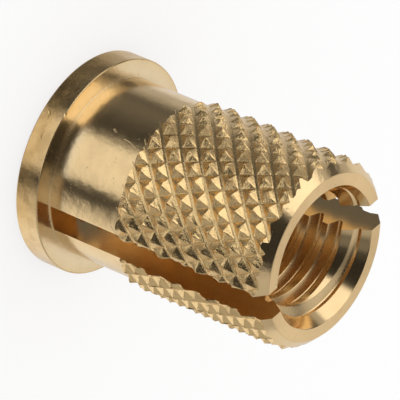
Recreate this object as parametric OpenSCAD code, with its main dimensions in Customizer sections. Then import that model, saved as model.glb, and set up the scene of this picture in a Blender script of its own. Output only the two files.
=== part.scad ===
// Slotted press-in threaded insert: a flanged brass sleeve with a diamond
// knurl, turned and sawn from one bar. It stands on its flange, the axis is Z,
// and the origin is the centre of the flange's outer face. Millimetres.

/* [Body] */
// Length from the flange's outer face to the mouth
body_l = 12.7; // [11:0.1:16]
// Diameter of the plain shank
shank_d = 7.96; // [7.5:0.02:8.6]

/* [Flange] */
// Diameter of the flange
flange_d = 9.62; // [9:0.02:12]
// Thickness of the flange
flange_t = 1.14; // [0.7:0.02:2]
// Height of the small chamfer on both edges of the flange
edge_break = 0.06; // [0.02:0.01:0.2]

/* [Knurl] */
// Length of plain shank between the flange and the knurl
plain_l = 3.65; // [1:0.05:6]
// Number of times the diamond pattern repeats around the body
pattern_repeats = 8; // [6:1:10]
// Angle between the right-hand grooves and the axis
right_angle = 47.4; // [35:0.2:55]
// Angle between the left-hand grooves and the axis
left_angle = 25.3; // [15:0.2:35]
// Width of the flat bottom of the right-hand grooves
channel_w = 0.1; // [0.04:0.01:0.18]
// Height of the groove bottoms above the plain shank
groove_step = 0.05; // [0.03:0.01:0.1]
// Height of the diamonds above the groove bottoms
point_h = 0.22; // [0.12:0.01:0.3]
// Width of a diamond's blunt top as a share of the diamond
point_flat = 0.2; // [0.1:0.02:0.4]
// Angle from +X to the groove crossing where the knurl starts
pattern_turn = -8.5; // [-22.5:0.5:22.5]
// Length over which the knurl rises to its full height
knurl_rise_l = 0.12; // [0.05:0.01:0.5]

/* [Nose] */
// Length of the chamfer that leads the insert into its hole
nose_l = 0.57; // [0.3:0.01:1.2]
// Drop of that chamfer from the diamonds' tops to the end face
nose_drop = 0.54; // [0.3:0.01:0.6]

/* [Bore] */
// Diameter of the bore at the crest of the thread
bore_d = 5; // [4.2:0.05:5.6]
// Diameter of the lead-in at the mouth
lead_in_d = 6.26; // [5.8:0.02:6.6]
// Depth of the lead-in before it narrows to the thread
lead_in_l = 0.55; // [0.2:0.05:2]
// Diameter of the countersink in the flange
countersink_d = 6.2; // [5.8:0.05:7.2]

/* [Slot] */
// Width of the saw slot that splits the body
slot_w = 1.27; // [0.6:0.01:2]
// Distance of the slot's middle plane from the axis, towards +Y
slot_offset = 0.05; // [0:0.01:0.2]
// Length left whole between the flange and the bottom of the slot
slot_land = 0.07; // [0.05:0.01:3]

/* [Hidden] */
$fn = 96;

// How far a cutter or a trimmed solid runs past the surface it meets.
overrun = 0.5;
// Half of the thread's included angle, at which the lead-in narrows.
thread_flank = 30;

// One repeat of the pattern holds three right-hand and four left-hand grooves,
// so the crossings lie on level rings, and a diamond spans seven ring spacings.
right_count = 3;
left_count = 4;
span = right_count + left_count;

knurl_z = flange_t + plain_l;
groove_r = shank_d / 2 + groove_step;
point_r = groove_r + point_h;
mean_r = groove_r + point_h / 2;

// Degrees of turn per millimetre of length along each hand of groove.
right_rate = tan(right_angle) / mean_r * 180 / PI;
left_rate = tan(left_angle) / mean_r * 180 / PI;

// Height of one ring spacing, and how far each ring turns back from the last.
repeat_turn = 360 / pattern_repeats;
ring_step = repeat_turn / (right_count * left_count * (right_rate + left_rate));
ring_back = repeat_turn / right_count - ring_step * right_rate;

// The lattice runs past both ends of the knurl, so that its ragged ends are cut off.
first_ring = -span;
last_ring = ceil((body_l - knurl_z) / ring_step) + 1;

// [rings, repeats] from a crossing to the next one along each hand of groove.
along_right = [right_count, 1];
along_left = [left_count, 1];

// The same from a diamond's lowest crossing to each of its corners, clockwise
// from outside, and to its middle.
corners = [[0, 0], along_left, along_left + along_right, along_right];
middle = corners[2] / 2;

// Half of a right-hand groove's flat bottom, as [rings, repeats] to its upper edge.
right_pitch = 2 * PI * mean_r / (pattern_repeats * right_count) * cos(right_angle);
to_edge = channel_w / 2 / right_pitch * along_left;

function ring_z(ring) = knurl_z + ring * ring_step;

// Where a corner of a diamond's raised flat lies.
function flat_corner(k) = middle + point_flat * (corners[k] - middle);

// A point on a ring, in a repeat of the pattern. Both may be fractions.
function lattice_point(r, ring, repeat) =
    let (a = pattern_turn - ring * ring_back + repeat * repeat_turn)
    [r * cos(a), r * sin(a), ring_z(ring)];

// Index of a groove crossing's point on the lower edge of its right-hand groove,
// and of the one on the upper edge.
function lower_edge(ring, repeat) =
    (ring - first_ring) * pattern_repeats + repeat % pattern_repeats;
function upper_edge(ring, repeat) =
    lower_edge(last_ring + span, 0) + lower_edge(ring, repeat);

// Rings from the start of a ragged end to the crossing t steps around it. The
// end rises along right-hand grooves and falls along left-hand ones.
function end_rise(t) = (right_count * t) % span;

// The points t steps around the ragged end that starts at a ring, up to the next
// crossing. A fall passes the upper edge of the groove that it reaches.
function end_step(ring, t) =
    let (
        rise = end_rise(t),
        next = end_rise(t + 1),
        n = 2 * (rise + left_count * t) / span - t
    )
    next > rise
        ? [lower_edge(ring + rise, n), lower_edge(ring + next, n + 1)]
        : [lower_edge(ring + rise, n), upper_edge(ring + next, n - 1), lower_edge(ring + next, n - 1)];

// The whole diamond lattice as one closed solid: a flat-bottomed groove in one
// hand, a sharp one in the other, and a small raised flat on each diamond.
module diamond_lattice() {
    repeats = [0 : pattern_repeats - 1];
    rings = [first_ring : last_ring - 1];
    end_steps = [0 : span * pattern_repeats - 1];
    lower_edges = [for (ring = [first_ring : last_ring + span - 1], n = repeats)
        lattice_point(groove_r, ring - to_edge[0], n - to_edge[1])];
    upper_edges = [for (ring = [first_ring : last_ring + right_count - 1], n = repeats)
        lattice_point(groove_r, ring + to_edge[0], n + to_edge[1])];
    flats = [for (ring = rings, n = repeats, k = [0 : 3])
        lattice_point(point_r, ring + flat_corner(k)[0], n + flat_corner(k)[1])];
    ends = [[0, 0, ring_z(first_ring)], [0, 0, ring_z(last_ring + span)]];
    edges = len(lower_edges) + len(upper_edges);
    bottom = edges + len(flats);
    top = bottom + 1;
    diamonds = [for (ring = rings, n = repeats)
        let (
            low = [
                upper_edge(ring, n),
                lower_edge(ring + left_count, n + 1),
                lower_edge(ring + span, n + 2),
                upper_edge(ring + right_count, n + 1)
            ],
            high = edges + 4 * ((ring - first_ring) * pattern_repeats + n)
        )
        each concat(
            [[high, high + 1, high + 2], [high, high + 2, high + 3]],
            [for (k = [0 : 3]) [low[k], low[(k + 1) % 4], high + (k + 1) % 4]],
            [for (k = [0 : 3]) [low[k], high + (k + 1) % 4, high + k]]
        )];
    channels = [for (ring = rings, n = repeats)
        let (
            lower = [lower_edge(ring, n), lower_edge(ring + right_count, n + 1)],
            upper = [upper_edge(ring, n), upper_edge(ring + right_count, n + 1)]
        )
        each [[lower[0], upper[0], upper[1]], [lower[0], upper[1], lower[1]]]];
    bottom_fan = [for (t = end_steps)
        let (path = end_step(first_ring, t))
        for (k = [1 : len(path) - 1]) [bottom, path[k - 1], path[k]]];
    top_fan = [for (t = end_steps)
        let (path = end_step(last_ring, t))
        for (k = [1 : len(path) - 1]) [top, path[k], path[k - 1]]];
    polyhedron(
        points = concat(lower_edges, upper_edges, flats, ends),
        faces = concat(diamonds, channels, bottom_fan, top_fan)
    );
}

// Outline that trims the knurl: a short rise from inside the shank, room for
// the diamonds, and the nose chamfer, which runs down to the end face.
module knurl_envelope() {
    clear_r = point_r + overrun;
    inner_r = shank_d / 2 - groove_step;
    rise = knurl_rise_l / (point_r - inner_r);
    fall = nose_l / nose_drop;
    rotate_extrude()
        polygon([
            [0, knurl_z],
            [inner_r, knurl_z],
            [clear_r, knurl_z + rise * (clear_r - inner_r)],
            [clear_r, body_l - fall * (nose_drop + overrun)],
            [point_r - nose_drop, body_l],
            [0, body_l]
        ]);
}

module flange() {
    rotate_extrude()
        polygon([
            [0, 0],
            [flange_d / 2 - edge_break, 0],
            [flange_d / 2, edge_break],
            [flange_d / 2, flange_t - edge_break],
            [flange_d / 2 - edge_break, flange_t],
            [0, flange_t]
        ]);
}

module shank() {
    cylinder(d = shank_d, h = knurl_z + knurl_rise_l);
}

module knurled_body() {
    intersection() {
        diamond_lattice();
        knurl_envelope();
    }
}

// The bore with its lead-in at the mouth and its countersink in the flange.
module bore() {
    lead_in_cone = (lead_in_d - bore_d) / 2 * tan(thread_flank);
    countersink_l = (countersink_d - bore_d) / 2;
    rotate_extrude()
        polygon([
            [0, -overrun],
            [countersink_d / 2 + overrun, -overrun],
            [bore_d / 2, countersink_l],
            [bore_d / 2, body_l - lead_in_l - lead_in_cone],
            [lead_in_d / 2, body_l - lead_in_l],
            [lead_in_d / 2, body_l + overrun],
            [0, body_l + overrun]
        ]);
}

module slot() {
    slot_z = flange_t + slot_land;
    slot_l = 2 * (point_r + overrun);
    translate([-slot_l / 2, slot_offset - slot_w / 2, slot_z])
        cube([slot_l, slot_w, body_l + overrun - slot_z]);
}

module insert() {
    color("#d3b27a")
        difference() {
            union() {
                flange();
                shank();
                knurled_body();
            }
            bore();
            slot();
        }
}

insert();
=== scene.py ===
"""Dresses the threaded insert and lights it.

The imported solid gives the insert's size and place. This script lays a finely
detailed skin over it: turned flange and shank, diamond knurl, helical thread
and sawn slot, all cut from one blank as the real insert is. Lengths inside the
classes are in millimetres, and the finished mesh is scaled to metres.
"""

import logging
import math
import random
from dataclasses import dataclass, field
from enum import Enum
from typing import Any, Union

import bpy
import numpy as np
from mathutils import Euler, Matrix, Vector

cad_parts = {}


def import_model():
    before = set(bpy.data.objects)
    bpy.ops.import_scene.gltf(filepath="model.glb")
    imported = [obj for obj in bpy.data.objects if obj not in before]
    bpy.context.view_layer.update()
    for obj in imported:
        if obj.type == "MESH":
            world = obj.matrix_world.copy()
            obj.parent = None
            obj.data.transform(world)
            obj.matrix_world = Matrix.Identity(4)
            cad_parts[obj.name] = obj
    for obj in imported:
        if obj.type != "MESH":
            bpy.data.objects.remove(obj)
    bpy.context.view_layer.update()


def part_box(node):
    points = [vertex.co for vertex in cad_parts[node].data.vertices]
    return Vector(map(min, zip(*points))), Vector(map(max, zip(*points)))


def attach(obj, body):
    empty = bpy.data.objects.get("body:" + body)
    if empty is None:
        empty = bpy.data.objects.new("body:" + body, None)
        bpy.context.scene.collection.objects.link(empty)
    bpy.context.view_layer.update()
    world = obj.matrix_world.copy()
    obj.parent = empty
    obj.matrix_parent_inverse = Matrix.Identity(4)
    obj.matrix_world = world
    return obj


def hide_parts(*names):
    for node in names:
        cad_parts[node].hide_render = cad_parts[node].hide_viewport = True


logger = logging.getLogger("threaded_insert")

NODE = "insert"
MM = 0.001
TURN = 2.0 * math.pi
OVERRUN = 0.5
"""How far a cutting solid runs past what it cuts, in millimetres."""

Point = tuple[float, float, float]
Face = tuple[int, ...]
Outline = list[tuple[float, float]]
Color = tuple[float, float, float, float]
Socket = bpy.types.NodeSocket


class Region(Enum):
    """The differently made surfaces of the insert, in the order of their material slots."""

    TURNED = 0
    KNURLED = 1
    TAPPED = 2
    SAWN = 3


# ---------------------------------------------------------------------------
# Meshes
# ---------------------------------------------------------------------------


@dataclass
class Solid:
    """A closed mesh of one region, as it is before it is joined to or cut from another.

    Attributes:
        name: Name of the object that it becomes.
        vertices: Points in millimetres.
        faces: Corner indices of each face, anticlockwise from outside.
        region: The kind of surface that the solid has, or leaves where it cuts.
    """

    name: str
    vertices: list[Point]
    faces: list[Face]
    region: Region

    def to_object(self) -> bpy.types.Object:
        """Makes a Blender object of the solid.

        Returns:
            The new object, with one material slot for each region.
        """
        mesh = bpy.data.meshes.new(self.name)
        mesh.from_pydata(self.vertices, [], self.faces)
        for region in Region:
            mesh.materials.append(shared_material(region))
        mesh.polygons.foreach_set("material_index", [self.region.value] * len(self.faces))
        mesh.update()
        made = bpy.data.objects.new(self.name, mesh)
        bpy.context.scene.collection.objects.link(made)
        return made


def shared_material(region: Region) -> bpy.types.Material:
    """Finds or makes the material of a region, which its finish fills in later."""
    name = f"{region.name.lower()}_brass"
    return bpy.data.materials.get(name) or bpy.data.materials.new(name)


def lathe(name: str, outline: Outline, segments: int, region: Region) -> Solid:
    """Turns an outline round the Z axis.

    Args:
        name: Name of the solid.
        outline: (radius, height) points that start and end on the axis, rising on the outside.
        segments: Number of steps round the axis.
        region: The kind of surface that it has.

    Returns:
        The closed solid.
    """
    rings = outline[1:-1]
    vertices = [(0.0, 0.0, outline[0][1]), (0.0, 0.0, outline[-1][1])]
    for r, z in rings:
        for s in range(segments):
            a = TURN * s / segments
            vertices.append((r * math.cos(a), r * math.sin(a), z))

    def at(ring: int, step: int) -> int:
        """Index of a point on a ring."""
        return 2 + ring * segments + step % segments

    faces: list[Face] = []
    last = len(rings) - 1
    for s in range(segments):
        faces.append((0, at(0, s + 1), at(0, s)))
        faces.append((1, at(last, s), at(last, s + 1)))
        for ring in range(last):
            faces.append((at(ring, s), at(ring, s + 1), at(ring + 1, s + 1), at(ring + 1, s)))
    return Solid(name, vertices, faces, region)


def rounded(outline: Outline, radii: dict[int, float], steps: int = 4) -> Outline:
    """Rounds some of an outline's corners.

    Args:
        outline: (radius, height) points.
        radii: The rounding radius for each corner that has one, by its index.
        steps: Number of straight steps in each rounded corner.

    Returns:
        The outline with arcs in place of those corners.
    """
    result: Outline = []
    for i, point in enumerate(outline):
        if i not in radii:
            result.append(point)
            continue
        corner = Vector(point)
        before = (Vector(outline[i - 1]) - corner).normalized()
        after = (Vector(outline[i + 1]) - corner).normalized()
        half = before.angle(after) / 2.0
        setback = radii[i] / math.tan(half)
        middle = corner + (before + after).normalized() * (radii[i] / math.sin(half))
        start = corner + before * setback - middle
        end = corner + after * setback - middle
        sweep = start.angle_signed(end)
        for k in range(steps + 1):
            turn = Matrix.Rotation(-sweep * k / steps, 2)
            p = middle + turn @ start
            result.append((p.x, p.y))
    return result


@dataclass
class Body:
    """The turned blank: the flange and the plain shank above it.

    Attributes:
        flange_r: Radius of the flange.
        flange_t: Thickness of the flange.
        flange_edge: Rounding of the flange's two edges.
        shank_r: Radius of the shank.
        root_fillet: Rounding where the shank meets the flange.
        top_z: Height at which the shank ends, inside the knurl.
        segments: Steps round the axis.
    """

    flange_r: float
    flange_t: float = 1.14
    flange_edge: float = 0.05
    shank_r: float = 3.98
    root_fillet: float = 0.025
    top_z: float = 4.91
    segments: int = 288

    def build(self) -> Solid:
        """Makes the flange and shank.

        Returns:
            Both as one closed solid.
        """
        outline = [
            (0.0, 0.0),
            (self.flange_r, 0.0),
            (self.flange_r, self.flange_t),
            (self.shank_r, self.flange_t),
            (self.shank_r, self.top_z),
            (0.0, self.top_z),
        ]
        edges = {1: self.flange_edge, 2: self.flange_edge, 3: self.root_fillet}
        return lathe("body", rounded(outline, edges), self.segments, Region.TURNED)


@dataclass
class Knurl:
    """The diamond knurl and the nose that is turned across its end.

    Attributes:
        start_z: Height at which the knurl starts.
        end_z: Height of the end face.
        groove_r: Radius at the groove bottoms.
        point_h: Height of the diamonds above the groove bottoms.
        repeats: Number of times the pattern repeats round the body.
        rights: Right-hand grooves in one repeat.
        lefts: Left-hand grooves in one repeat.
        right_angle: Angle between the right-hand grooves and the axis, in degrees.
        left_angle: Angle between the left-hand grooves and the axis, in degrees.
        right_flat: Half of the width of the right-hand grooves' flat bottoms.
        left_flat: The same for the left-hand grooves.
        right_round: Rounding between the right-hand grooves' bottoms and sides.
        left_round: The same for the left-hand grooves.
        ridge_cut: Width lost from a diamond's ridges to their rounding, as a share of the diamond.
        cut_limit: The most of its half width that a small level may lose to that rounding.
        cut_bulge: How far the rounding stands in from the true ridge, as a share of its width.
        levels: Heights of the rings of points up a diamond, as shares of its height.
        crease: Angle between faces above which an edge stays sharp, in degrees.
        wear: How far points stray from the true pattern, in millimetres.
        groove_wear: The same in the grooves, as a share of it; the tops have this share more.
        seed: Start of the random numbers for the wear.
        turn: Angle from +X to the crossing where the knurl starts, in degrees.
        rise: Length over which the knurl rises.
        nose_l: Length of the nose chamfer.
        nose_drop: Drop of the nose chamfer.
        nose_edge: Rounding between the nose and the end face.
        inset: How far inside the grooves the turned end of the knurl starts.
        segments: Steps round the axis of the turned faces.
        run_in_width: Half width of the grooves' scratches on the shank, as a share of their spacing.
    """

    start_z: float
    end_z: float
    groove_r: float = 4.02
    point_h: float = 0.24
    repeats: int = 8
    rights: int = 3
    lefts: int = 4
    right_angle: float = 47.4
    left_angle: float = 25.3
    right_flat: float = 0.058
    left_flat: float = 0.0
    right_round: float = 0.03
    left_round: float = 0.012
    ridge_cut: float = 0.045
    cut_limit: float = 0.6
    cut_bulge: float = 0.3
    levels: tuple[float, ...] = (0.0, 0.015, 0.06, 0.17, 0.55, 0.86, 0.95, 1.0)
    crease: float = 28.0
    wear: float = 0.018
    groove_wear: float = 0.2
    seed: int = 7
    turn: float = -8.5
    rise: float = 0.1
    nose_l: float = 0.57
    nose_drop: float = 0.54
    nose_edge: float = 0.05
    inset: float = 0.1
    segments: int = 288
    run_in_width: float = 0.04

    @property
    def span(self) -> int:
        """Ring spacings from a diamond's lowest corner to its highest."""
        return self.rights + self.lefts

    @property
    def mean_r(self) -> float:
        """Radius at half the height of the diamonds."""
        return self.groove_r + self.point_h / 2.0

    @property
    def ring_step(self) -> float:
        """Height of one ring spacing."""
        rate = self.rate(self.right_angle) + self.rate(self.left_angle)
        return TURN / self.repeats / (self.rights * self.lefts * rate)

    @property
    def ring_back(self) -> float:
        """Angle by which each ring turns back from the last, in radians."""
        return TURN / self.repeats / self.rights - self.ring_step * self.rate(self.right_angle)

    def rate(self, angle: float) -> float:
        """Turn of a groove at an angle from the axis, in radians for each millimetre of height."""
        return math.tan(math.radians(angle)) / self.mean_r

    def spacing(self, grooves: int, angle: float) -> float:
        """Distance across the grooves of one hand, from their number in a repeat and their angle."""
        return TURN * self.mean_r / (self.repeats * grooves) * math.cos(math.radians(angle))

    def share_in(self, height: float, spacing: float, flat: float, bottom_round: float) -> float:
        """Finds how far in from a groove's middle the diamond's side reaches a height.

        Args:
            height: Height above the groove's bottom.
            spacing: Distance across the grooves.
            flat: Half of the width of the groove's flat bottom.
            bottom_round: Rounding between the bottom and the side.

        Returns:
            The distance as a share of the spacing, from the flat's edge to a half.
        """
        half = spacing / 2.0 - flat
        slope = (half - math.sqrt(half**2 - 2.0 * bottom_round * self.point_h)) / bottom_round
        tangent_h = bottom_round * slope**2 / 2.0
        if height < tangent_h:
            return (flat + math.sqrt(2.0 * bottom_round * height)) / spacing
        return min((flat + bottom_round * slope + (height - tangent_h) / slope) / spacing, 0.5)

    def point(self, ring: float, repeat: float, height: float) -> Point:
        """Places a point of the lattice.

        Args:
            ring: Rings above the start, which may be a fraction.
            repeat: Repeats of the pattern round the body, which may be a fraction.
            height: Height above the groove bottoms.

        Returns:
            The point, in millimetres.
        """
        a = math.radians(self.turn) - ring * self.ring_back + repeat * TURN / self.repeats
        r = self.groove_r + height
        return r * math.cos(a), r * math.sin(a), self.start_z + ring * self.ring_step

    def worn(self, point: Point, share: float, chance: random.Random) -> Point:
        """Moves a point a little at random, more near the diamonds' tops and never outwards.

        Args:
            point: The true point.
            share: Its height above the groove, as a share of the diamond's.
            chance: Gives the random numbers.

        Returns:
            The moved point.
        """
        reach = self.wear * (self.groove_wear + share)
        x, y, z = (c + chance.uniform(-reach, reach) for c in point)
        r = math.hypot(x, y)
        inner = min(r, self.groove_r + self.point_h) - chance.uniform(0.0, reach)
        return x * inner / r, y * inner / r, z

    def level(self, share: float, outer: bool = False) -> list[Point]:
        """Lays out one level of a diamond, as a four-sided ring with rounded corners.

        Args:
            share: Height of the level as a share of the diamond's.
            outer: Whether the ring follows the grooves' middles, where the diamonds meet.

        Returns:
            Its (u, v, height) points, three to a corner, or one point at the top.
        """
        height = share * self.point_h
        if share == 1.0:
            return [(0.5, 0.5, height)]
        u = v = 0.0
        if not outer:
            left_step = self.spacing(self.lefts, self.left_angle)
            right_step = self.spacing(self.rights, self.right_angle)
            u = self.share_in(height, left_step, self.left_flat, self.left_round)
            v = self.share_in(height, right_step, self.right_flat, self.right_round)
        cut = min(self.ridge_cut, (0.5 - u) * self.cut_limit, (0.5 - v) * self.cut_limit)
        mid = 0.0 if outer else self.cut_bulge * cut
        points = []
        for su, sv in ((1, 1), (-1, 1), (-1, -1), (1, -1)):
            along_u = (0.5 - su * (0.5 - u - cut), 0.5 - sv * (0.5 - v), height)
            along_v = (0.5 - su * (0.5 - u), 0.5 - sv * (0.5 - v - cut), height)
            middle = (0.5 - su * (0.5 - u - mid), 0.5 - sv * (0.5 - v - mid), height)
            points += [along_v, middle, along_u] if su == sv else [along_u, middle, along_v]
        return points

    def lattice(self) -> Solid:
        """Makes the whole lattice of diamonds as a solid with ragged ends.

        Returns:
            The closed solid, which runs past both ends of the knurl.
        """
        index: dict[tuple[int, int], int] = {}
        vertices: list[Point] = []
        faces: list[Face] = []
        fine = 10**6  # places closer than a millionth are one point
        chance = random.Random(self.seed)

        def vertex(ring: float, repeat: float, height: float) -> int:
            """Finds or makes a lattice point, which neighbours share.

            Args:
                ring: Rings above the start.
                repeat: Repeats of the pattern round the body.
                height: Height above the groove bottoms.

            Returns:
                The point's index.
            """
            key = (round(ring * fine), round(repeat * fine) % (self.repeats * fine))
            if key not in index:
                index[key] = len(vertices)
                vertices.append(self.worn(self.point(ring, repeat, height), height / self.point_h, chance))
            return index[key]

        rights, lefts = self.rights, self.lefts
        levels = [self.level(0.0, outer=True)] + [self.level(share) for share in self.levels]
        last = math.ceil((self.end_z - self.start_z) / self.ring_step) + 1
        for ring in range(-self.span, last):
            for repeat in range(self.repeats):
                loops = [
                    [vertex(ring + rights * u + lefts * v, repeat + u + v, height) for u, v, height in points]
                    for points in levels
                ]
                for low, high in zip(loops, loops[1:]):
                    for k, here in enumerate(low):
                        after = (k + 1) % len(low)
                        faces.append((here, low[after], high[after % len(high)]))
                        if len(high) > 1:
                            faces.append((here, high[after], high[k]))
        return Solid("knurl", *closed(vertices, faces), Region.KNURLED)

    def envelope(self) -> Solid:
        """Makes the turned shape that trims the lattice.

        Returns:
            The closed solid, with the knurl's rise, room for its points and the nose.
        """
        point_r = self.groove_r + self.point_h
        clear_r = point_r + OVERRUN
        inner_r = self.groove_r - self.inset
        slope = self.rise / (point_r - inner_r)
        fall = self.nose_l / self.nose_drop
        outline = [
            (0.0, self.start_z),
            (inner_r, self.start_z),
            (clear_r, self.start_z + slope * (clear_r - inner_r)),
            (clear_r, self.end_z - fall * (self.nose_drop + OVERRUN)),
            (point_r - self.nose_drop, self.end_z),
            (0.0, self.end_z),
        ]
        return lathe("envelope", rounded(outline, {4: self.nose_edge}), self.segments, Region.TURNED)

    def run_in_mask(self, wires: "Surface") -> Socket:
        """Places the scratches that the right-hand grooves leave on the shank.

        Args:
            wires: Adds nodes to the material.

        Returns:
            Their mask.
        """
        grooves = self.repeats * self.rights
        inputs = {
            "Place": wires.at,
            "Grooves": float(grooves),
            "Per mm": grooves * self.rate(self.right_angle) / TURN,
            "Turn": math.radians(self.turn),
            "Start": self.start_z,
            "Width": self.run_in_width,
        }
        return wires.use(RunIns, inputs)["Mask"]


@dataclass
class Thread:
    """The tapped bore: a helical thread, the lead-in at the mouth and the countersink in the flange.

    Attributes:
        end_z: Height of the mouth.
        crest_r: Radius at the thread's crests.
        root_r: Radius at the thread's roots.
        pitch: Pitch of the thread.
        flank: Half of the thread's included angle, in degrees.
        crest_z: Height of a crest in the +X direction.
        crest_half: Half of the width of a crest.
        soft: Rounding of the crests' edges; the roots have twice as much.
        lead_in_r: Radius of the lead-in at the mouth.
        lead_in_l: Length over which it narrows to the crests.
        countersink_r: Radius of the countersink at the flange's face.
        mouth_edge: Width of the small chamfer round the mouth.
        per_pitch: Steps along one pitch.
        segments: Steps round the axis of the thread.
        turned_segments: Steps round the axis of the lead-in and the countersink.
        overlap: How far the lead-in and the countersink run on inside the crests.
        nearness: How close to the true thread a face of it lies.
    """

    end_z: float
    crest_r: float = 2.54
    root_r: float = 2.98
    pitch: float = 1.0
    flank: float = 30.0
    crest_z: float = 11.26
    crest_half: float = 0.15
    soft: float = 0.03
    lead_in_r: float = 3.15
    lead_in_l: float = 1.12
    countersink_r: float = 3.1
    mouth_edge: float = 0.03
    per_pitch: int = 24
    segments: int = 120
    turned_segments: int = 240
    overlap: float = 0.1
    nearness: float = 0.02

    def offset(self, at: np.ndarray) -> np.ndarray:
        """Distance of points along the axis from the nearest crest."""
        along = at[:, 2] - self.crest_z - self.pitch * np.arctan2(at[:, 1], at[:, 0]) / TURN
        return (along + self.pitch / 2.0) % self.pitch - self.pitch / 2.0

    def radius(self, offset: np.ndarray) -> np.ndarray:
        """Radius of the thread's surface.

        Args:
            offset: Distance along the axis from the nearest crest.

        Returns:
            The radius at each offset, with rounded crests and roots.
        """
        flank_r = self.crest_r + (np.abs(offset) - self.crest_half) / math.tan(math.radians(self.flank))
        low = soft_max(flank_r, np.full_like(flank_r, self.crest_r), self.soft)
        return -soft_max(-low, np.full_like(flank_r, -self.root_r), 2.0 * self.soft)

    def helix(self) -> Solid:
        """Makes the solid that cuts the thread.

        Returns:
            The closed solid, longer than the bore at both ends.
        """
        turns = math.ceil(self.end_z / self.pitch) + 2
        rows = turns * self.per_pitch + 1
        start = self.crest_z - self.pitch * (math.ceil(self.crest_z / self.pitch) + 1)
        steps = np.arange(rows) / self.per_pitch * self.pitch
        radii = self.radius((steps + self.pitch / 2.0) % self.pitch - self.pitch / 2.0)
        vertices: list[Point] = []
        faces: list[Face] = []
        for s in range(self.segments):
            a = TURN * s / self.segments
            climb = self.pitch * s / self.segments
            for step, r in zip(steps, radii):
                vertices.append((r * math.cos(a), r * math.sin(a), start + climb + step))
            following = (s + 1) % self.segments
            shift = 0 if following else self.per_pitch
            for k in range(rows - 1 - shift):
                here, there = s * rows + k, following * rows + k + shift
                faces.append((here, there, there + 1, here + 1))
        return Solid("thread", *closed(vertices, faces), Region.TAPPED)

    @property
    def narrowing(self) -> float:
        """Radius that the lead-in loses in each millimetre."""
        return (self.lead_in_r - self.crest_r) / self.lead_in_l

    def lead_in(self) -> Solid:
        """Makes the solid that cuts the lead-in and breaks the edge of the mouth.

        Returns:
            The closed solid.
        """
        bottom = self.end_z - self.lead_in_l - self.overlap / self.narrowing
        outline = [
            (0.0, bottom),
            (self.crest_r - self.overlap, bottom),
            (self.lead_in_r, self.end_z - self.mouth_edge),
            (self.lead_in_r + self.mouth_edge + OVERRUN, self.end_z + OVERRUN),
            (0.0, self.end_z + OVERRUN),
        ]
        return lathe("lead_in", outline, self.turned_segments, Region.TAPPED)

    def countersink(self) -> Solid:
        """Makes the solid that cuts the countersink in the flange.

        Returns:
            The closed solid.
        """
        top = self.countersink_r - self.crest_r + self.overlap / 2.0
        outline = [
            (0.0, -OVERRUN),
            (self.countersink_r + OVERRUN, -OVERRUN),
            (self.crest_r - self.overlap / 2.0, top),
            (0.0, top),
        ]
        return lathe("countersink", outline, self.turned_segments, Region.TAPPED)


def soft_max(a: np.ndarray, b: np.ndarray, width: float) -> np.ndarray:
    """Takes the larger of two values, rounded where they are closer than the width."""
    near = np.clip(width - np.abs(a - b), 0.0, None) / width
    return np.maximum(a, b) + near**2 * width / 4.0


def closed(vertices: list[Point], faces: list[Face]) -> tuple[list[Point], list[Face]]:
    """Drops unused points from a tube and closes its two open ends with fans.

    Args:
        vertices: The tube's points.
        faces: Its faces, anticlockwise from outside.

    Returns:
        The points and faces of the closed solid.
    """
    kept = sorted({i for f in faces for i in f})
    renamed = {old: new for new, old in enumerate(kept)}
    points = [vertices[i] for i in kept]
    walls = [tuple(renamed[i] for i in f) for f in faces]
    edges = {(f[k], f[(k + 1) % len(f)]) for f in walls for k in range(len(f))}
    heights = [p[2] for p in points]
    middle = (min(heights) + max(heights)) / 2.0
    bottom, top = len(points), len(points) + 1
    points += [(0.0, 0.0, min(heights)), (0.0, 0.0, max(heights))]
    fans = [(b, a, bottom if heights[a] < middle else top) for a, b in sorted(edges) if (b, a) not in edges]
    return points, walls + fans


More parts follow.
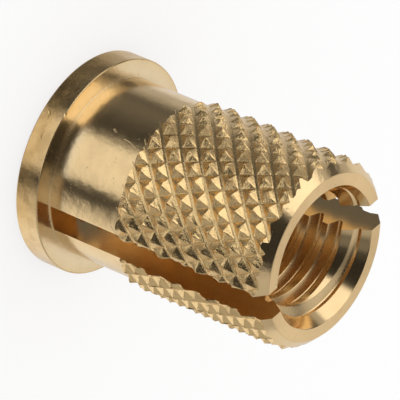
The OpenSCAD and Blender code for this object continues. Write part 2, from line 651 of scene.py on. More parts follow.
@dataclass
class Slot:
    """The saw cut across the body.

    Attributes:
        bottom_z: Height of the slot's bottom.
        top_z: Height of the mouth.
        width: Width of the cut.
        offset: Distance of its middle plane from the axis, towards +Y.
        reach: How far it runs along X on each side.
        rows: Rows of faces up its walls, which keep the cut faces small.
        columns: Columns of faces along its walls.
        edge_reach: Width of the turned-over edges beside it.
    """

    bottom_z: float
    top_z: float
    width: float = 1.27
    offset: float = 0.05
    reach: float = 6.0
    rows: int = 40
    columns: int = 40
    edge_reach: float = 0.05

    def build(self) -> Solid:
        """Makes the solid that cuts the slot.

        Returns:
            The closed solid.
        """
        height = self.top_z + OVERRUN - self.bottom_z
        vertices = [
            (
                self.reach * (2.0 * column / self.columns - 1.0),
                self.offset + side * self.width / 2.0,
                self.bottom_z + height * row / self.rows,
            )
            for row in range(self.rows + 1)
            for column in range(self.columns + 1)
            for side in (-1, 1)
        ]

        def at(row: int, column: int, side: int) -> int:
            """Index of the point in a row and column, on the side towards -Y or +Y."""
            return 2 * (row * (self.columns + 1) + column) + side

        faces: list[Face] = []
        for row in range(self.rows):
            for column in range(self.columns):
                cell = ((row, column), (row, column + 1), (row + 1, column + 1), (row + 1, column))
                faces.append(tuple(at(r, c, 0) for r, c in cell))
                faces.append(tuple(at(r, c, 1) for r, c in reversed(cell)))
            last = self.columns
            faces.append((at(row, 0, 0), at(row + 1, 0, 0), at(row + 1, 0, 1), at(row, 0, 1)))
            faces.append((at(row, last, 0), at(row, last, 1), at(row + 1, last, 1), at(row + 1, last, 0)))
        for column in range(self.columns):
            top = self.rows
            faces.append((at(0, column, 0), at(0, column, 1), at(0, column + 1, 1), at(0, column + 1, 0)))
            faces.append(
                (at(top, column, 0), at(top, column + 1, 0), at(top, column + 1, 1), at(top, column, 1))
            )
        return Solid("slot", vertices, faces, Region.SAWN)

    def edge_mask(self, wires: "Surface") -> Socket:
        """Places the slot's turned-over edges on a surface.

        Args:
            wires: Adds nodes to the material.

        Returns:
            Their mask.
        """
        inputs = {
            "Place": wires.at,
            "Middle": self.offset,
            "Half width": self.width / 2.0,
            "Bottom": self.bottom_z,
            "Reach": self.edge_reach,
        }
        return wires.use(SlotEdge, inputs)["Mask"]


class Join(Enum):
    """How one solid meets another."""

    UNION = "UNION"
    INTERSECT = "INTERSECT"
    DIFFERENCE = "DIFFERENCE"


def combine(base: bpy.types.Object, join: Join, other: bpy.types.Object) -> bpy.types.Object:
    """Joins or cuts one closed object with another.

    Args:
        base: The object that is changed.
        join: How the two meet.
        other: The second object, which is used up.

    Returns:
        The changed base.
    """
    modifier = base.modifiers.new(join.value.lower(), "BOOLEAN")
    modifier.operation = join.value
    modifier.object = other
    modifier.solver = "MANIFOLD"
    bpy.context.view_layer.update()
    evaluated = base.evaluated_get(bpy.context.evaluated_depsgraph_get())
    result = bpy.data.meshes.new_from_object(evaluated)
    base.modifiers.clear()
    base.data = result
    bpy.data.objects.remove(other)
    return base


def read(items: Any, name: str, width: int = 1) -> np.ndarray:
    """Reads one property of all of a mesh's points, corners or faces.

    Args:
        items: The points, corners or faces.
        name: Name of the property.
        width: Numbers in each value; a single number is a whole one.

    Returns:
        The value of each item.
    """
    values = np.empty(len(items) * width, dtype=float if width > 1 else int)
    items.foreach_get(name, values)
    return values.reshape(-1, width) if width > 1 else values


@dataclass
class Insert:
    """The whole insert, cut from one blank.

    Attributes:
        high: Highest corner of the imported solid, in metres.
        knurl_z: Height at which the knurl starts.
        slot_z: Height of the slot's bottom.
        shank_reach: How far the shank runs on inside the knurl.
        body: The flange and shank.
        knurl: The diamond knurl and nose.
        thread: The tapped bore.
        slot: The saw cut.
    """

    high: Vector
    knurl_z: float = 4.79
    slot_z: float = 1.21
    shank_reach: float = 0.12
    body: Body = field(init=False)
    knurl: Knurl = field(init=False)
    thread: Thread = field(init=False)
    slot: Slot = field(init=False)

    def __post_init__(self) -> None:
        """Sizes the sub-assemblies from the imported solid."""
        length = self.high.z / MM
        self.body = Body(flange_r=self.high.x / MM, top_z=self.knurl_z + self.shank_reach)
        self.knurl = Knurl(start_z=self.knurl_z, end_z=length)
        self.thread = Thread(end_z=length)
        self.slot = Slot(bottom_z=self.slot_z, top_z=length)

    def build(self) -> bpy.types.Object:
        """Makes the insert's mesh, in metres.

        Returns:
            The one object that stands for the insert.
        """
        envelope = self.knurl.envelope().to_object()
        knurled = combine(self.knurl.lattice().to_object(), Join.INTERSECT, envelope)
        insert = combine(self.body.build().to_object(), Join.UNION, knurled)
        thread = self.thread
        for tool in (thread.helix(), thread.lead_in(), thread.countersink(), self.slot.build()):
            insert = combine(insert, Join.DIFFERENCE, tool.to_object())
            logger.info("cut %s: %d faces", tool.name, len(insert.data.polygons))
        insert.name = "insert_skin"
        insert.data.name = "insert_skin"
        self.set_normals(insert.data)
        insert.data.transform(Matrix.Scale(MM, 4))
        return insert

    def set_normals(self, mesh: bpy.types.Mesh) -> None:
        """Gives round faces the normals of true turned and threaded surfaces.

        Args:
            mesh: The insert's mesh, in millimetres.
        """
        sizes = read(mesh.polygons, "loop_total")
        normal = np.repeat(read(mesh.polygons, "normal", 3), sizes, axis=0)
        region = np.repeat(read(mesh.polygons, "material_index"), sizes)
        mesh.polygons.foreach_set("use_smooth", [True] * len(sizes))
        mesh.set_sharp_from_angle(angle=math.radians(self.knurl.crease))
        softened = read(mesh.corner_normals, "vector", 3)
        at = read(mesh.vertices, "co", 3)[read(mesh.loops, "vertex_index")]
        round_r = np.maximum(np.hypot(at[:, 0], at[:, 1]), 1e-9)
        outward = np.stack([at[:, 0] / round_r, at[:, 1] / round_r, np.zeros(len(at))], axis=1)

        is_knurl = region == Region.KNURLED.value
        is_tapped = region == Region.TAPPED.value
        is_thread = is_tapped & np.repeat(self.on_thread(mesh), sizes)
        is_turned = (region == Region.TURNED.value) | (is_tapped & ~is_thread)
        result = normal.copy()
        result[is_knurl] = softened[is_knurl]
        result[is_turned] = self.turned_normals(normal, outward)[is_turned]
        result[is_thread] = self.thread_normals(at, outward, round_r)[is_thread]
        mesh.normals_split_custom_set(result)
        mesh.update()

    def on_thread(self, mesh: bpy.types.Mesh) -> np.ndarray:
        """Tells which faces lie on the thread's surface, by how far their centres are from it.

        Args:
            mesh: The insert's mesh, in millimetres.

        Returns:
            A truth value for each face.
        """
        centres = read(mesh.polygons, "center", 3)
        gap = np.hypot(centres[:, 0], centres[:, 1]) - self.thread.radius(self.thread.offset(centres))
        return np.abs(gap) < self.thread.nearness

    @staticmethod
    def turned_normals(normal: np.ndarray, outward: np.ndarray) -> np.ndarray:
        """Works out the normals of turned faces.

        Args:
            normal: The flat normal of each corner's face.
            outward: The direction from the axis to each corner.

        Returns:
            A normal for each corner, with no facets round the axis.
        """
        along = np.clip(normal[:, 2], -1.0, 1.0)
        side = np.sign(np.einsum("ij,ij->i", normal, outward))
        result = outward * (side * np.sqrt(1.0 - along**2))[:, None]
        result[:, 2] = along
        return result

    def thread_normals(self, at: np.ndarray, outward: np.ndarray, round_r: np.ndarray) -> np.ndarray:
        """Works out the normals of the helical thread.

        Args:
            at: The corners' places.
            outward: The direction from the axis to each corner.
            round_r: Each corner's distance from the axis.

        Returns:
            A normal for each corner, towards the axis.
        """
        thread = self.thread
        offset = thread.offset(at)
        small = 0.004  # step along the axis over which the slope is taken
        slope = (thread.radius(offset + small) - thread.radius(offset - small)) / (2.0 * small)
        around = np.stack([-outward[:, 1], outward[:, 0], np.zeros(len(at))], axis=1)
        result = -outward - around * (slope * thread.pitch / (TURN * round_r))[:, None]
        result[:, 2] += slope
        return result / np.linalg.norm(result, axis=1)[:, None]


# ---------------------------------------------------------------------------
# Node tools
# ---------------------------------------------------------------------------


Value = Union[float, tuple, Socket]


class Wiring:
    """Adds nodes to one tree and joins them."""

    def __init__(self, tree: bpy.types.NodeTree) -> None:
        """Keeps the tree that it works on."""
        self.tree = tree

    def add(self, kind: str, inputs: dict[Union[str, int], Value], **settings: Any) -> bpy.types.Node:
        """Adds a node.

        Args:
            kind: The node's type.
            inputs: What each named or numbered input gets, a number or another node's output.
            **settings: The node's own settings.

        Returns:
            The new node.
        """
        node = self.tree.nodes.new(kind)
        for name, value in settings.items():
            setattr(node, name, value)
        for key, value in inputs.items():
            if isinstance(value, Socket):
                self.tree.links.new(value, node.inputs[key])
            else:
                node.inputs[key].default_value = value
        return node

    def math(self, operation: str, a: Value, b: Value = 0.0, c: Value = 0.0) -> Socket:
        """Works out one number from up to three."""
        return self.add("ShaderNodeMath", {0: a, 1: b, 2: c}, operation=operation).outputs[0]

    def vector(self, operation: str, a: Value, b: Value = (0.0, 0.0, 0.0)) -> Socket:
        """Works out one vector from two."""
        return self.add("ShaderNodeVectorMath", {0: a, 1: b}, operation=operation).outputs["Vector"]

    def dot(self, a: Value, b: Value) -> Socket:
        """Dot product of two vectors."""
        return self.add("ShaderNodeVectorMath", {0: a, 1: b}, operation="DOT_PRODUCT").outputs["Value"]

    def pack(self, x: Value, y: Value, z: Value) -> Socket:
        """Makes a vector of three numbers."""
        return self.add("ShaderNodeCombineXYZ", {0: x, 1: y, 2: z}).outputs[0]

    def step(self, value: Value, low: Value, high: Value) -> Socket:
        """Rises smoothly from 0 at low to 1 at high, or falls where low is the larger."""
        inputs = {"Value": value, "From Min": low, "From Max": high}
        return self.add("ShaderNodeMapRange", inputs, interpolation_type="SMOOTHSTEP").outputs[0]

    def mix(self, share: Value, a: Value, b: Value) -> Socket:
        """Mixes two numbers."""
        return self.add("ShaderNodeMix", {0: share, 2: a, 3: b}, data_type="FLOAT").outputs[0]

    def mix_color(self, share: Value, a: Value, b: Value) -> Socket:
        """Mixes two colours."""
        return self.add("ShaderNodeMix", {0: share, 6: a, 7: b}, data_type="RGBA").outputs[2]

    def split(self, vector: Value) -> Any:
        """Parts of a vector, as three outputs."""
        return self.add("ShaderNodeSeparateXYZ", {0: vector}).outputs

    def length(self, vector: Value) -> Socket:
        """Length of a vector."""
        return self.add("ShaderNodeVectorMath", {0: vector}, operation="LENGTH").outputs["Value"]

    def clamp(self, value: Value) -> Socket:
        """Keeps a number between 0 and 1."""
        return self.math("MINIMUM", self.math("MAXIMUM", value, 0.0), 1.0)

    def noise(self, at: Value, scale: Value, detail: float = 2.0, roughness: float = 0.5) -> Socket:
        """Smooth noise from 0 to 1 at a place."""
        inputs = {"Vector": at, "Scale": scale, "Detail": detail, "Roughness": roughness}
        return self.add("ShaderNodeTexNoise", inputs).outputs[0]

    def use(self, effect: "type[Effect]", inputs: dict[str, Value]) -> Any:
        """Places an effect's node group, and gives its outputs."""
        return self.add("ShaderNodeGroup", inputs, node_tree=effect.shared()).outputs


# ---------------------------------------------------------------------------
# Node groups
# ---------------------------------------------------------------------------


class Kind(Enum):
    """Socket types of a node group."""

    NUMBER = "NodeSocketFloat"
    VECTOR = "NodeSocketVector"
    COLOR = "NodeSocketColor"


class Effect:
    """A node group that is drawn once and placed wherever it is needed.

    Attributes:
        name: Name of the group.
        inputs: Names of the inputs, by kind.
        outputs: Names of the outputs, by kind.
        tree: The group's node tree.
        wires: Adds nodes to the tree.
        given: What comes in through the inputs.
        result: Where the outputs are joined.
    """

    name: str
    inputs: dict[Kind, list[str]] = {}
    outputs: dict[Kind, list[str]] = {Kind.NUMBER: ["Mask"]}

    def __init__(self) -> None:
        """Makes the group with its sockets, and draws it."""
        self.tree = bpy.data.node_groups.new(self.name, "ShaderNodeTree")
        for way, sockets in (("INPUT", self.inputs), ("OUTPUT", self.outputs)):
            for kind, names in sockets.items():
                for key in names:
                    self.tree.interface.new_socket(key, in_out=way, socket_type=kind.value)
        self.wires = Wiring(self.tree)
        self.given = self.tree.nodes.new("NodeGroupInput").outputs
        self.result = self.tree.nodes.new("NodeGroupOutput").inputs
        self.draw()

    @classmethod
    def shared(cls) -> bpy.types.NodeTree:
        """Finds the effect's group, or makes it the first time."""
        return bpy.data.node_groups.get(cls.name) or cls().tree

    def give(self, name: str, value: Socket) -> None:
        """Joins a value to an output."""
        self.tree.links.new(value, self.result[name])

    def draw(self) -> None:
        """Draws the nodes between the inputs and the outputs."""
        raise NotImplementedError


class InsertPlace(Effect):
    """The place on the insert, in millimetres, its radius and height, and the way out from the axis.

    Ring is the height less the radius. It is the same all round a mark that a lathe tool leaves.
    """

    name = "insert_place"
    outputs = {Kind.VECTOR: ["Place", "Outward"], Kind.NUMBER: ["Radius", "Height", "Ring"]}

    def draw(self) -> None:
        """Works the place out from the object's own coordinates."""
        w = self.wires
        here = w.add("ShaderNodeTexCoord", {}).outputs["Object"]
        place = w.vector("MULTIPLY", here, (1 / MM, 1 / MM, 1 / MM))
        x, y, height = w.split(place)
        flat = w.pack(x, y, 0.0)
        radius = w.length(flat)
        self.give("Place", place)
        self.give("Outward", w.vector("NORMALIZE", flat))
        self.give("Radius", radius)
        self.give("Height", height)
        self.give("Ring", w.math("SUBTRACT", height, radius))


class TurningMarks(Effect):
    """The fine rings that a lathe tool leaves, as a height from 0 to 1."""

    name = "turning_marks"
    inputs = {Kind.NUMBER: ["Ring", "Per mm"], Kind.VECTOR: ["Outward"]}
    outputs = {Kind.NUMBER: ["Height"]}

    def draw(self) -> None:
        """Draws noise out along the rings."""
        w = self.wires
        along = w.math("MULTIPLY", self.given["Ring"], self.given["Per mm"])
        drift = w.vector("MULTIPLY", self.given["Outward"], (1.6, 1.6, 0.0))
        self.give("Height", w.noise(w.vector("ADD", drift, w.pack(0.0, 0.0, along)), 1.0, 3.0, 0.65))


class Tarnish(Effect):
    """Clean brass with duller patches and fine specks."""

    name = "tarnish"
    inputs = {Kind.VECTOR: ["Place"], Kind.COLOR: ["Clean", "Dull"], Kind.NUMBER: ["Patches", "Specks"]}
    outputs = {Kind.COLOR: ["Color"], Kind.NUMBER: ["Mask"]}

    def draw(self) -> None:
        """Mixes the two colours by a coarse and a fine noise."""
        w = self.wires
        place = self.given["Place"]
        patch = w.step(w.noise(place, 0.9, 4.0, 0.6), 0.42, 0.68)
        speck = w.step(w.noise(place, 9.0, 3.0, 0.6), 0.60, 0.72)
        share = w.math("MULTIPLY", patch, self.given["Patches"])
        share = w.math("MINIMUM", w.math("MULTIPLY_ADD", speck, self.given["Specks"], share), 1.0)
        self.give("Color", w.mix_color(share, self.given["Clean"], self.given["Dull"]))
        self.give("Mask", share)


class PitPattern(Effect):
    """Small scattered pits."""

    name = "pits"
    inputs = {Kind.VECTOR: ["Place"], Kind.NUMBER: ["Per mm", "Size", "Share"]}

    def draw(self) -> None:
        """Puts a pit in the middle of a share of the pattern's cells."""
        w = self.wires
        size = self.given["Size"]
        pattern = {"Vector": self.given["Place"], "Scale": self.given["Per mm"]}
        cells = w.add("ShaderNodeTexVoronoi", pattern)
        inside = w.step(cells.outputs["Distance"], size, w.math("MULTIPLY", size, 0.4))
        chosen = w.math("LESS_THAN", w.split(cells.outputs["Color"])[0], self.given["Share"])
        self.give("Mask", w.math("MULTIPLY", inside, chosen))


class ScratchLine(Effect):
    """One straight scratch between two points."""

    name = "scratch"
    inputs = {Kind.VECTOR: ["Place", "From", "To"], Kind.NUMBER: ["Width"]}

    def draw(self) -> None:
        """Fades the scratch by the distance from the line between its ends."""
        w = self.wires
        run = w.vector("SUBTRACT", self.given["To"], self.given["From"])
        gone = w.vector("SUBTRACT", self.given["Place"], self.given["From"])
        share = w.clamp(w.math("DIVIDE", w.dot(gone, run), w.dot(run, run)))
        apart = w.length(w.vector("SUBTRACT", gone, w.vector("MULTIPLY", run, w.pack(share, share, share))))
        width = self.given["Width"]
        self.give("Mask", w.step(apart, width, w.math("MULTIPLY", width, 0.2)))


class RunIns(Effect):
    """The short scratches that a knurl's grooves leave on the shank before them."""

    name = "run_ins"
    inputs = {Kind.VECTOR: ["Place"], Kind.NUMBER: ["Grooves", "Per mm", "Turn", "Start", "Width"]}

    def draw(self) -> None:
        """Carries each groove on below the knurl's start, for a length that differs from the next."""
        w = self.wires
        x, y, z = w.split(self.given["Place"])
        width = self.given["Width"]
        below = w.math("SUBTRACT", self.given["Start"], z)
        angle = w.math("SUBTRACT", w.math("ARCTAN2", y, x), self.given["Turn"])
        along = w.math("DIVIDE", w.math("MULTIPLY", angle, self.given["Grooves"]), TURN)
        along = w.math("ADD", along, w.math("MULTIPLY", below, self.given["Per mm"]))
        which = w.math("ROUND", along)
        apart = w.math("ABSOLUTE", w.math("SUBTRACT", along, which))
        line = w.step(apart, width, w.math("MULTIPLY", width, 0.3))
        chance = w.add("ShaderNodeTexWhiteNoise", {"W": which}, noise_dimensions="1D").outputs["Value"]
        reach = w.math("MULTIPLY_ADD", chance, 0.35, 0.12)
        near = w.step(below, reach, w.math("MULTIPLY", reach, 0.6))
        self.give("Mask", w.math("MULTIPLY", line, w.math("MULTIPLY", near, w.step(below, -0.02, 0.0))))


class SlotEdge(Effect):
    """The turned-over edges beside a saw cut."""

    name = "slot_edge"
    inputs = {Kind.VECTOR: ["Place"], Kind.NUMBER: ["Middle", "Half width", "Bottom", "Reach"]}

    def draw(self) -> None:
        """Fades the edges by the distance from the cut's sides."""
        w = self.wires
        _, y, z = w.split(self.given["Place"])
        apart = w.math("ABSOLUTE", w.math("SUBTRACT", y, self.given["Middle"]))
        apart = w.math("SUBTRACT", apart, self.given["Half width"])
        near = w.clamp(w.math("SUBTRACT", 1.0, w.math("DIVIDE", apart, self.given["Reach"])))
        above = w.math("GREATER_THAN", z, w.math("SUBTRACT", self.given["Bottom"], self.given["Reach"]))
        self.give("Mask", w.math("MULTIPLY", w.math("MULTIPLY", near, near), above))


class SoftCard(Effect):
    """The part of the room that one soft-edged card covers."""

    name = "soft_card"
    inputs = {Kind.VECTOR: ["Toward", "Across", "Up"], Kind.NUMBER: ["Softness"]}

    def draw(self) -> None:
        """Fades the card by how far out from its middle a direction of the room lies."""
        w = self.wires
        look = w.add("ShaderNodeTexCoord", {}).outputs["Generated"]
        depth = w.dot(look, self.given["Toward"])
        aside = w.pack(w.dot(look, self.given["Across"]), w.dot(look, self.given["Up"]), 0.0)
        reach = w.math("DIVIDE", w.length(aside), w.math("MAXIMUM", depth, 0.001))
        outer = w.math("ADD", 1.0, self.given["Softness"])
        inner = w.math("SUBTRACT", 1.0, self.given["Softness"])
        self.give("Mask", w.step(reach, outer, inner))


# ---------------------------------------------------------------------------
# Finishes
# ---------------------------------------------------------------------------


class Surface(Wiring):
    """The material of one surface in the making, with the place on the insert at hand.

    Attributes:
        at: The place, in millimetres.
        outward: The way out from the axis.
        radius: Distance from the axis.
        height: Height above the foot.
        ring: Height less the radius, which is the same all round a turning mark.
    """

    def __init__(self, tree: bpy.types.NodeTree) -> None:
        """Keeps the tree that it works on, and places the place group in it.

        Args:
            tree: The material's node tree.
        """
        super().__init__(tree)
        place = self.use(InsertPlace, {})
        self.at, self.outward = place["Place"], place["Outward"]
        self.radius, self.height, self.ring = place["Radius"], place["Height"], place["Ring"]


@dataclass(frozen=True)
class Brass:
    """The metal that the insert is turned from.

    Attributes:
        clean: Colour of freshly cut brass.
        dull: Colour of tarnished brass.
        painted_sheen_color: Paler colour of a painted sheen, which stands for a highlight.
        stain_and_painted_shade_color: Darker, more golden colour, of real staining on the rim and of painted
            shade deep in the thread.
        pitted: Colour in the pits.
    """

    clean: Color = (0.95, 0.695, 0.37, 1.0)
    dull: Color = (0.62, 0.42, 0.20, 1.0)
    painted_sheen_color: Color = (0.97, 0.79, 0.52, 1.0)
    stain_and_painted_shade_color: Color = (0.78, 0.51, 0.215, 1.0)
    pitted: Color = (0.1, 0.07, 0.03, 1.0)


@dataclass
class Marks:
    """What a tool and use leave on a surface, and the light and shade painted on it, as values that vary over
    it.

    Attributes:
        height: Height of the marks, in units of the finish's depth.
        roughness: Roughness that they add.
        stain_and_painted_light: Share of the darker, more golden colour that they add: real staining on the
            rim, with less of it on one side as painted light, and painted shade deep in the thread.
        painted_sheen: Share of the paler colour that paints a sheen, a painted highlight.
        shade: Share of painted shade, which darkens the colour towards black.
    """

    height: Socket
    roughness: Value = 0.0
    stain_and_painted_light: Value = 0.0
    painted_sheen: Value = 0.0
    shade: Value = 0.0


@dataclass(frozen=True)
class Pits:
    """Small pits, scattered over a surface.

    Attributes:
        per_mm: Cells of the pattern in each millimetre, each with room for one pit.
        size: Radius of a pit, as a share of a cell.
        share: Share of the cells that hold a pit.
        depth: Depth of a pit, in units of the finish's depth.
    """

    per_mm: float = 6.0
    size: float = 0.16
    share: float = 0.12
    depth: float = 2.0

    def mask(self, wires: Surface) -> Socket:
        """Places the pits' mask on the surface."""
        inputs = {"Place": wires.at, "Per mm": self.per_mm, "Size": self.size, "Share": self.share}
        return wires.use(PitPattern, inputs)["Mask"]


@dataclass(frozen=True)
class Scratch:
    """A straight scratch on a round surface. Lengths are in millimetres and angles in degrees.

    Attributes:
        radius: Radius of the surface.
        turns: Angles from +X of its two ends.
        heights: Heights of its two ends.
        width: Its width.
        depth: Its depth, in units of the finish's depth.
    """

    radius: float
    turns: tuple[float, float]
    heights: tuple[float, float]
    width: float = 0.035
    depth: float = 12.0

    def mask(self, wires: Surface) -> Socket:
        """Places the scratch's mask on the surface.

        Args:
            wires: Adds nodes to the material.

        Returns:
            The mask.
        """
        ends = []
        for turn, height in zip(self.turns, self.heights):
            angle = math.radians(turn)
            ends.append((self.radius * math.cos(angle), self.radius * math.sin(angle), height))
        inputs = {"Place": wires.at, "From": ends[0], "To": ends[1], "Width": self.width}
        return wires.use(ScratchLine, inputs)["Mask"]


@dataclass(frozen=True)
class Finish:
    """A brass surface: what each of the four finishes shares.

    Attributes:
        region: The surfaces that it covers.
        brass: The metal.
        roughness: Roughness of the clean surface.
        anisotropy: How far gloss is drawn out across the marks.
        depth: Depth of the surface's marks, in millimetres.
        patches: Amount of tarnish in patches.
        specks: Amount of tarnish in fine specks.
        tarnish_rough: Roughness that tarnish adds.
        pits: The pits.
        pit_rough: Roughness that a pit adds.
        pit_shade: Share of the pitted colour in a pit.
        rings_per_mm: Rings of the turning marks in each millimetre.
    """

    region: Region
    brass: Brass = Brass()
    roughness: float = 0.16
    anisotropy: float = 0.0
    depth: float = 0.001
    patches: float = 0.15
    specks: float = 0.25
    tarnish_rough: float = 0.12
    pits: Pits = Pits()
    pit_rough: float = 0.15
    pit_shade: float = 0.8
    rings_per_mm: float = 14.0

    def build(self) -> bpy.types.Material:
        """Fills in the region's material.

        Returns:
            The material.
        """
        material = shared_material(self.region)
        material.use_nodes = True
        wires = Surface(material.node_tree)
        shader = material.node_tree.nodes["Principled BSDF"]
        tarnish_inputs = {
            "Place": wires.at,
            "Clean": self.brass.clean,
            "Dull": self.brass.dull,
            "Patches": self.patches,
            "Specks": self.specks,
        }
        tarnish = wires.use(Tarnish, tarnish_inputs)
        pits = self.pits.mask(wires)
        marks = self.marks(wires)

        height = wires.math("MULTIPLY_ADD", pits, -self.pits.depth, marks.height)
        bump_inputs = {"Strength": 1.0, "Distance": self.depth * MM, "Height": height}
        bump = wires.add("ShaderNodeBump", bump_inputs)
        rough = wires.math("MULTIPLY_ADD", tarnish["Mask"], self.tarnish_rough, self.roughness)
        rough = wires.math("MULTIPLY_ADD", pits, self.pit_rough, rough)
        rough = wires.math("ADD", rough, marks.roughness)
        # Into the colour go staining with painted light and shade, a painted sheen and painted shade.
        color = wires.mix_color(marks.stain_and_painted_light, tarnish["Color"], self.brass.stain_and_painted_shade_color)
        color = wires.mix_color(marks.painted_sheen, color, self.brass.painted_sheen_color)
        color = wires.mix_color(marks.shade, color, (0.0, 0.0, 0.0, 1.0))
        color = wires.mix_color(wires.math("MULTIPLY", pits, self.pit_shade), color, self.brass.pitted)
        wires.tree.links.new(color, shader.inputs["Base Color"])
        wires.tree.links.new(rough, shader.inputs["Roughness"])
        wires.tree.links.new(bump.outputs["Normal"], shader.inputs["Normal"])
        shader.inputs["Metallic"].default_value = 1.0
        if self.anisotropy:  # a quarter turn draws the gloss out across the rings
            shader.inputs["Anisotropic"].default_value = self.anisotropy
            shader.inputs["Anisotropic Rotation"].default_value = 0.25
            tangent = wires.add("ShaderNodeTangent", {}, direction_type="RADIAL", axis="Z")
            wires.tree.links.new(tangent.outputs[0], shader.inputs["Tangent"])
        return material

    def marks(self, wires: Surface) -> Marks:
        """Draws the marks of the tool that made the surface, and of use.

        Args:
            wires: Adds nodes to the material.

        Returns:
            The marks.
        """
        raise NotImplementedError

    def rings(self, wires: Surface) -> Socket:
        """Draws the rings of a lathe tool, as a height from 0 to 1."""
        inputs = {"Ring": wires.ring, "Outward": wires.outward, "Per mm": self.rings_per_mm}
        return wires.use(TurningMarks, inputs)["Height"]


@dataclass(frozen=True, kw_only=True)
class TurnedBrass(Finish):
    """Brass turned on a lathe: flange, shank, nose and the duller end face.

    Heights and depths are in units of the finish's depth, and the other numbers are shares.

    Attributes:
        body: The flange and shank.
        knurl: The knurl, whose grooves run in on the shank.
        slot: The saw cut, whose edges are turned over.
        ring_height: Height of the turning marks.
        dents: Height of broad shallow dents.
        grain: Height of a fine grain.
        nicks: Small bright nicks.
        run_in_depth: Depth of the scratches that the grooves leave.
        edge_depth: Depth to which the slot's edges are turned over.
        end_rough: Roughness that the end face adds.
        rim_rough: Roughness that the flange's rim adds.
        dirt_rough: Roughness that dirt adds on the rim.
        corner_rough: Roughness that the corner between flange and shank adds.
        rim_stain: Stain on the rim.
        dirt_stain: Stain that dirt adds on the rim.
        painted_light_side: Painted light on one side of the rim: the share of its staining taken away there,
            which makes it lighter.
        painted_light_direction: The way out from the axis to the middle of that painted lighter side.
        corner_painted_sheen: Share of the paler colour painted round the corner between flange and shank, a
            painted sheen.
        face_painted_shade: Painted shade on the flange's upper face: the share by which its colour is
            darkened.
    """

    body: Body
    knurl: Knurl
    slot: Slot
    ring_height: float = 0.5
    dents: float = 15.0
    grain: float = 1.8
    nicks: Pits = Pits(per_mm=3.1, size=0.09, share=0.3, depth=12.0)
    run_in_depth: float = 10.0
    edge_depth: float = 8.0
    end_rough: float = 0.28
    rim_rough: float = 0.02
    dirt_rough: float = 0.1
    corner_rough: float = 0.08
    rim_stain: float = 0.85
    dirt_stain: float = 0.15
    painted_light_side: float = 0.5
    painted_light_direction: Point = (0.94, 0.34, 0.0)
    corner_painted_sheen: float = 0.7
    face_painted_shade: float = 0.15

    def scratches(self) -> list[Scratch]:
        """Lists the scratches on the shank and the flange's rim."""
        shank, rim = self.body.shank_r, self.body.flange_r
        return [
            Scratch(shank, (-69.5, -68.2), (3.05, 3.2), 0.05, 20.0),
            Scratch(shank, (-66.0, -65.2), (3.75, 4.1)),
            Scratch(shank, (-65.2, -63.0), (4.1, 4.48)),
            Scratch(rim, (-61.5, -60.0), (0.3, 0.42), 0.06, 25.0),
            Scratch(rim, (-60.0, -47.0), (0.42, 0.57), 0.03, 8.0),
            Scratch(rim, (-63.2, -62.0), (1.1, 1.15), 0.07, 25.0),
        ]

    def relief(self, wires: Surface) -> Socket:
        """Lays rings, dents, grain, nicks, scratches and turned-over edges over each other.

        Args:
            wires: Adds nodes to the material.

        Returns:
            Their height.
        """
        layers = [
            (wires.noise(wires.at, 1.6), self.dents),
            (wires.noise(wires.at, 9.0, 3.0, 0.6), self.grain),
            (self.nicks.mask(wires), -self.nicks.depth),
            (self.knurl.run_in_mask(wires), -self.run_in_depth),
            (self.slot.edge_mask(wires), -self.edge_depth),
        ]
        layers += [(scratch.mask(wires), -scratch.depth) for scratch in self.scratches()]
        relief = wires.math("MULTIPLY", self.rings(wires), self.ring_height)
        for layer, height in layers:
            relief = wires.math("MULTIPLY_ADD", layer, height, relief)
        return relief

    def marks(self, wires: Surface) -> Marks:
        """Draws the relief, roughens the end face, stains the rim with one side painted lighter, and paints a
        sheen round the corner and shade on the flange's face.

        Args:
            wires: Adds nodes to the material.

        Returns:
            The marks.
        """
        end = wires.step(wires.height, self.knurl.end_z - 0.03, self.knurl.end_z - 0.01)
        rim = wires.step(wires.radius, self.body.flange_r - 0.1, self.body.flange_r - 0.02)
        above = wires.math("SUBTRACT", wires.height, self.body.flange_t)
        aside = wires.math("SUBTRACT", wires.radius, self.body.shank_r)
        from_corner = wires.length(wires.pack(aside, above, 0.0))
        corner = wires.step(from_corner, 0.3, 0.05)
        wide_corner = wires.step(from_corner, 1.1, 0.3)
        face = wires.step(wires.math("ABSOLUTE", above), 0.02, 0.01)
        dirt = wires.step(wires.noise(wires.at, 1.3, 4.0, 0.65), 0.4, 0.65)
        # Painted light: one side of the rim has less of its staining, so it is lighter.
        painted_light_side = wires.step(wires.dot(wires.outward, self.painted_light_direction), 0.88, 0.98)

        rough = wires.math("MULTIPLY_ADD", dirt, self.dirt_rough, self.rim_rough)
        rough = wires.math("MULTIPLY", rim, rough)
        rough = wires.math("MULTIPLY_ADD", end, self.end_rough, rough)
        rough = wires.math("MULTIPLY_ADD", corner, self.corner_rough, rough)
        # Rim staining, with less of it on the painted lighter side.
        stain_and_painted_light = wires.math("MULTIPLY_ADD", painted_light_side, -self.painted_light_side, self.rim_stain)
        stain_and_painted_light = wires.math("MULTIPLY", rim, wires.math("MULTIPLY_ADD", dirt, self.dirt_stain, stain_and_painted_light))
        # Painted sheen: a paler colour round the corner between flange and shank.
        painted_sheen = wires.math("MULTIPLY", wide_corner, self.corner_painted_sheen)
        # Painted shade: the flange's upper face is darkened.
        shade = wires.math("MULTIPLY", face, self.face_painted_shade)
        return Marks(self.relief(wires), rough, stain_and_painted_light, painted_sheen, shade)


